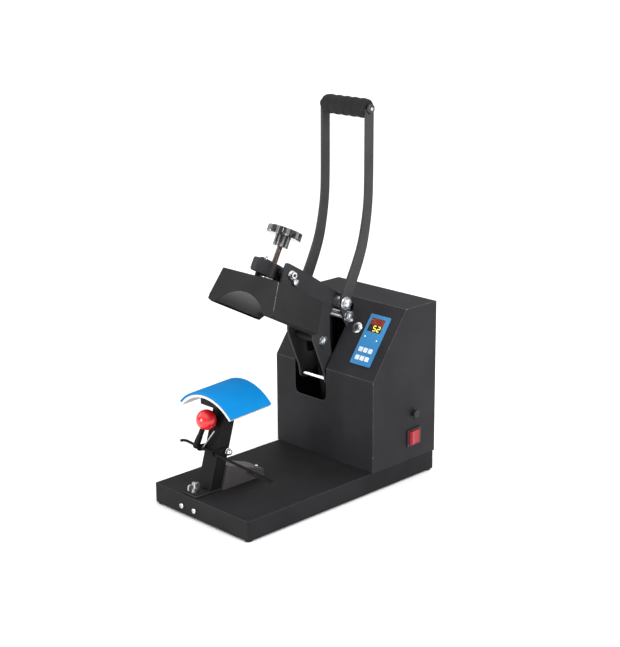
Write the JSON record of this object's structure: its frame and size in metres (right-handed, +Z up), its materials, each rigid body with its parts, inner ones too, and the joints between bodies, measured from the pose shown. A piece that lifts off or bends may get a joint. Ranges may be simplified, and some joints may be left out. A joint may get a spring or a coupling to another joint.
{
  "type": "cap heat press",
  "caption": "Manual clamshell heat press for caps: a curved heated head on a toggle arm with a tall bail handle closes onto a curved blue pad on a leaning stand.",
  "frame": {"origin": "centre of the machine's overall footprint box, on the surface its rubber feet stand on, with the press open", "axes": "+X to the operator's right, +Y towards the back, +Z up"},
  "size_m": [0.2436, 0.4402, 0.6428],
  "materials": {
    "deck_paint": "satin powder coat",
    "black_paint": "satin powder coat",
    "dark_steel": "satin black",
    "zinc": "zinc plated",
    "chrome": "polished",
    "bronze": "yellow zinc, threaded",
    "aluminium": "matt",
    "platen_aluminium": "machined, bright",
    "rubber": "matt",
    "element_rubber": "matt",
    "wool": "fibrous",
    "black_plastic": "matt",
    "panel_film": "printed film",
    "display": "dark tinted",
    "button_white": "matt",
    "red_plastic": "gloss",
    "blue_silicone": "satin silicone"
  },
  "bodies": {
    "machine": {"base_tray": "deck_paint", "base_foot_1": "rubber", "base_foot_2": "rubber", "base_foot_3": "rubber", "base_foot_4": "rubber", "base_screw_1": "zinc", "base_screw_2": "zinc", "tower_housing": "black_paint", "rear_panel": "black_paint", "power_inlet": "black_plastic", "control_panel": "panel_film", "controller_box": "black_plastic", "display_window": "display", "panel_stop_left": "chrome", "panel_stop_right": "chrome", "switch_bezel": "black_plastic", "fuse_holder": "black_plastic", "pivot_frame": "dark_steel", "arm_pivot_shaft": "zinc", "link_pivot_pin": "zinc", "stand_column": "dark_steel", "stand_foot_plate": "dark_steel", "stand_channel": "aluminium", "wing_stud": "zinc", "pad_bracket": "dark_steel", "pad_plate": "aluminium", "blue_pad": "blue_silicone", "hold_down_bolt": "chrome"},
    "press_arm": {"arm_plate_left": "dark_steel", "arm_plate_right": "dark_steel", "cross_rod": "zinc", "leg_bolt": "zinc", "handle_pivot_shaft": "zinc", "press_tongue": "dark_steel", "tongue_bolt_front": "zinc", "tongue_bolt_rear": "zinc"},
    "press_head": {"head_cover": "black_paint", "heated_platen": "platen_aluminium", "heating_element": "element_rubber", "insulation": "wool"},
    "pressure_adjuster": {"pressure_screw": "bronze", "pressure_knob": "black_plastic"},
    "handle": {"handle_bar_left": "dark_steel", "handle_bar_right": "dark_steel", "handle_grip": "rubber", "grip_bolt": "zinc", "link_shaft": "zinc"},
    "toggle": {"toggle_link": "zinc"},
    "hold_down": {"hold_down_yoke": "zinc", "hold_down_ball": "red_plastic"},
    "stand_wing_nut": {"wing_nut": "zinc"},
    "power_rocker": {"rocker_switch": "red_plastic"},
    "fuse_knob": {"fuse_cap": "black_plastic"},
    "key_1": {"button_1": "button_white"},
    "key_2": {"button_2": "button_white"},
    "key_3": {"button_3": "button_white"},
    "key_4": {"button_4": "button_white"},
    "key_5": {"button_5": "button_white"},
    "key_6": {"button_6": "button_white"}
  },
  "joints": [
    {"name": "arm_hinge", "type": "hinge", "parent": "machine", "child": "press_arm", "pos_m": [-0.036, 0.1394, 0.0861], "axis": [1, 0, 0], "range_deg": [0, 30.5]},
    {"name": "handle_hinge", "type": "hinge", "parent": "press_arm", "child": "handle", "pos_m": [-0.036, 0.0913, 0.3079], "axis": [1, 0, 0], "range_deg": [0, 57.5]},
    {"name": "toggle_hinge", "type": "hinge", "parent": "handle", "child": "toggle", "pos_m": [-0.036, 0.0972, 0.284], "axis": [1, 0, 0], "range_deg": [-60.15, 0]},
    {"name": "head_slide", "type": "slide", "parent": "press_arm", "child": "press_head", "axis": [0, 0.4617, 0.887], "range_m": [0, 0.0018]},
    {"name": "knob_turn", "type": "hinge", "parent": "press_head", "child": "pressure_adjuster", "pos_m": [-0.036, -0.03466, 0.35904], "axis": [0, 0.4617, 0.887], "range_deg": [0, 432]},
    {"name": "hold_down_hinge", "type": "hinge", "parent": "machine", "child": "hold_down", "pos_m": [-0.036, -0.147, 0.0994], "axis": [1, 0, 0], "range_deg": [0, 30]},
    {"name": "wing_nut_turn", "type": "hinge", "parent": "machine", "child": "stand_wing_nut", "pos_m": [-0.036, -0.204, 0.045], "axis": [0, 0, 1], "range_deg": [-180, 180]},
    {"name": "rocker_hinge", "type": "hinge", "parent": "machine", "child": "power_rocker", "pos_m": [0.10805, 0.162, 0.076], "axis": [0, 0, 1], "range_deg": [-16, 0]},
    {"name": "fuse_turn", "type": "hinge", "parent": "machine", "child": "fuse_knob", "pos_m": [0.1115, 0.161, 0.119], "axis": [1, 0, 0], "range_deg": [0, 90]},
    {"name": "button_1_press", "type": "slide", "parent": "machine", "child": "key_1", "axis": [0, 0.8097, -0.5868], "range_m": [0, 0.0008], "stiffness_N_per_m": 300, "springref_m": -0.0004},
    {"name": "button_2_press", "type": "slide", "parent": "machine", "child": "key_2", "axis": [0, 0.8097, -0.5868], "range_m": [0, 0.0008], "stiffness_N_per_m": 300, "springref_m": -0.0004},
    {"name": "button_3_press", "type": "slide", "parent": "machine", "child": "key_3", "axis": [0, 0.8097, -0.5868], "range_m": [0, 0.0008], "stiffness_N_per_m": 300, "springref_m": -0.0004},
    {"name": "button_4_press", "type": "slide", "parent": "machine", "child": "key_4", "axis": [0, 0.8097, -0.5868], "range_m": [0, 0.0008], "stiffness_N_per_m": 300, "springref_m": -0.0004},
    {"name": "button_5_press", "type": "slide", "parent": "machine", "child": "key_5", "axis": [0, 0.8097, -0.5868], "range_m": [0, 0.0008], "stiffness_N_per_m": 300, "springref_m": -0.0004},
    {"name": "button_6_press", "type": "slide", "parent": "machine", "child": "key_6", "axis": [0, 0.8097, -0.5868], "range_m": [0, 0.0008], "stiffness_N_per_m": 300, "springref_m": -0.0004}
  ],
  "couplings": [
    {"joint": "handle_hinge", "follows": "arm_hinge", "ratio": 1.8852},
    {"joint": "toggle_hinge", "follows": "arm_hinge", "ratio": -1.9721},
    {"joint": "knob_turn", "follows": "head_slide", "rad_per_m": 4188.8}
  ]
}
